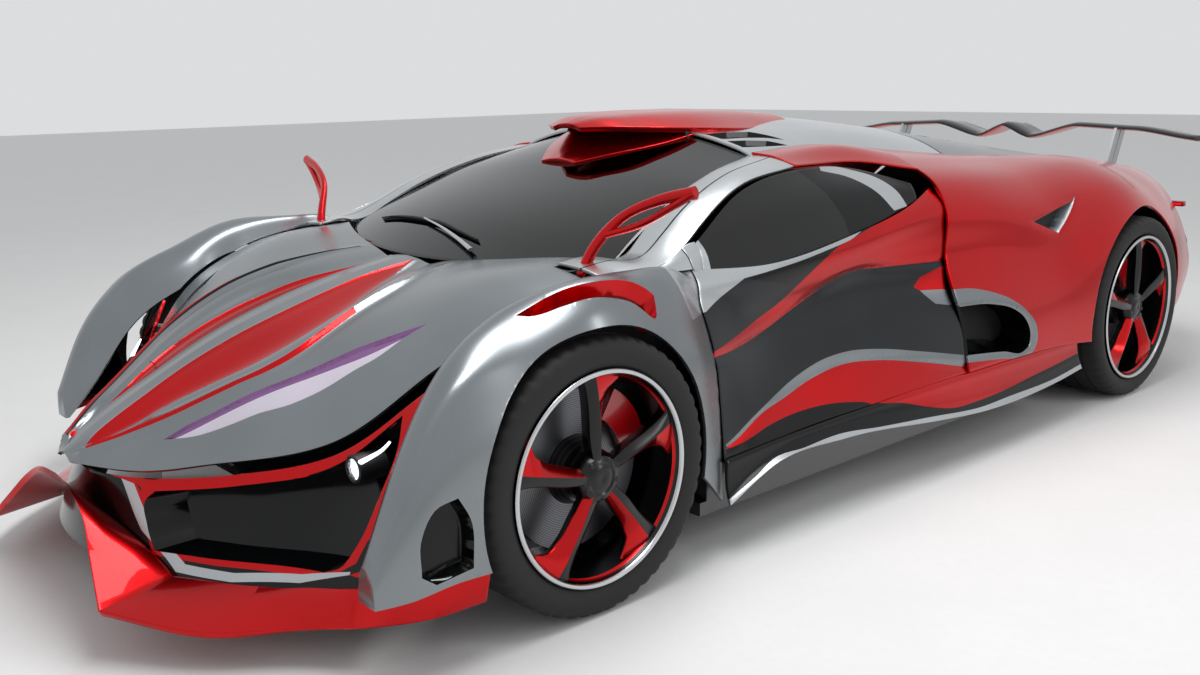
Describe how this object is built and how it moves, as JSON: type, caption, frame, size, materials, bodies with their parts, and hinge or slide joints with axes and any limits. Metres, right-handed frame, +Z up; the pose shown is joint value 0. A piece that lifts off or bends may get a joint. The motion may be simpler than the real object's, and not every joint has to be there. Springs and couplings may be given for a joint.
{
  "type": "supercar",
  "caption": "Low two-seat mid-engined supercar with opening doors, bonnet and engine cover, steered front wheels and free-turning wheels",
  "frame": {"origin": "on the ground, below the middle of the car's outline", "axes": "+Z up, the front looks along -Y, the driver's left side is +X"},
  "size_m": [2.024, 4.59, 1.112],
  "materials": {
    "tyre": "worn rubber",
    "rim": "gloss black with red inlays",
    "brake_disc": "machined",
    "cast_metal": "as cast",
    "arm_steel": "satin black",
    "carbon_tub": "satin",
    "satin_gunmetal_paint": "satin metallic",
    "red_paint": "gloss",
    "silver_paint": "satin metallic",
    "black_gloss": "gloss",
    "matt_black": "matt",
    "tinted_glass": "dark tint",
    "clear_lens": "clear",
    "red_lens": "red tint",
    "exhaust_steel": "brushed",
    "seat_leather": "matt"
  },
  "bodies": {
    "body": {"rear_uprights": "cast_metal", "suspension_arms": "arm_steel", "chassis_tub": "carbon_tub", "front_fender_left": "satin_gunmetal_paint", "front_fender_right": "satin_gunmetal_paint", "haunch_left": "red_paint", "haunch_right": "red_paint", "roof": "silver_paint", "windscreen": "tinted_glass", "front_bumper": "black_gloss", "splitter": "red_paint", "side_skirts": "black_gloss", "roof_scoop": "red_paint", "rear_fascia": "black_gloss", "tail_lamps": "red_lens", "diffuser": "matt_black", "exhaust": "exhaust_steel", "rear_wing": "black_gloss", "wing_struts": "silver_paint", "mirrors": "red_paint", "headlamps": "clear_lens", "seats": "seat_leather", "dashboard": "matt_black", "steering_wheel": "seat_leather", "engine": "cast_metal", "wiper": "matt_black"},
    "knuckle_left": {"knuckle_left": "cast_metal"},
    "knuckle_right": {"knuckle_right": "cast_metal"},
    "door_left": {"door_left": "satin_gunmetal_paint", "door_glass_left": "tinted_glass"},
    "door_right": {"door_right": "satin_gunmetal_paint", "door_glass_right": "tinted_glass"},
    "bonnet": {"bonnet": "satin_gunmetal_paint"},
    "engine_cover": {"engine_cover": "satin_gunmetal_paint"},
    "wheel_front_left": {"tyre_front_left": "tyre", "rim_front_left": "rim", "brake_disc_front_left": "brake_disc"},
    "wheel_front_right": {"tyre_front_right": "tyre", "rim_front_right": "rim", "brake_disc_front_right": "brake_disc"},
    "wheel_rear_left": {"tyre_rear_left": "tyre", "rim_rear_left": "rim", "brake_disc_rear_left": "brake_disc"},
    "wheel_rear_right": {"tyre_rear_right": "tyre", "rim_rear_right": "rim", "brake_disc_rear_right": "brake_disc"}
  },
  "joints": [
    {"name": "steer_left", "type": "hinge", "parent": "body", "child": "knuckle_left", "pos_m": [0.815, -1.35, 0.33], "axis": [0, 0, 1], "range_deg": [-30, 30]},
    {"name": "steer_right", "type": "hinge", "parent": "body", "child": "knuckle_right", "pos_m": [-0.815, -1.35, 0.33], "axis": [0, 0, 1], "range_deg": [-30, 30]},
    {"name": "spin_front_left", "type": "hinge", "parent": "knuckle_left", "child": "wheel_front_left", "pos_m": [0.858, -1.35, 0.33], "axis": [1, 0, 0], "continuous": true},
    {"name": "spin_front_right", "type": "hinge", "parent": "knuckle_right", "child": "wheel_front_right", "pos_m": [-0.858, -1.35, 0.33], "axis": [1, 0, 0], "continuous": true},
    {"name": "spin_rear_left", "type": "hinge", "parent": "body", "child": "wheel_rear_left", "pos_m": [0.85, 1.35, 0.342], "axis": [1, 0, 0], "continuous": true},
    {"name": "spin_rear_right", "type": "hinge", "parent": "body", "child": "wheel_rear_right", "pos_m": [-0.85, 1.35, 0.342], "axis": [1, 0, 0], "continuous": true},
    {"name": "door_left_hinge", "type": "hinge", "parent": "body", "child": "door_left", "pos_m": [0.8, -0.868, 0.766], "axis": [0.7071, 0, -0.7071], "range_deg": [0, 60]},
    {"name": "door_right_hinge", "type": "hinge", "parent": "body", "child": "door_right", "pos_m": [-0.8, -0.868, 0.766], "axis": [0.7071, 0, 0.7071], "range_deg": [0, 60]},
    {"name": "bonnet_hinge", "type": "hinge", "parent": "body", "child": "bonnet", "pos_m": [0, -1.106, 0.728], "axis": [-1, 0, 0], "range_deg": [0, 45]},
    {"name": "engine_cover_hinge", "type": "hinge", "parent": "body", "child": "engine_cover", "pos_m": [0, 0.7525, 1.023], "axis": [1, 0, 0], "range_deg": [0, 45]}
  ],
  "couplings": [
    {"joint": "steer_right", "follows": "steer_left", "ratio": 1}
  ]
}
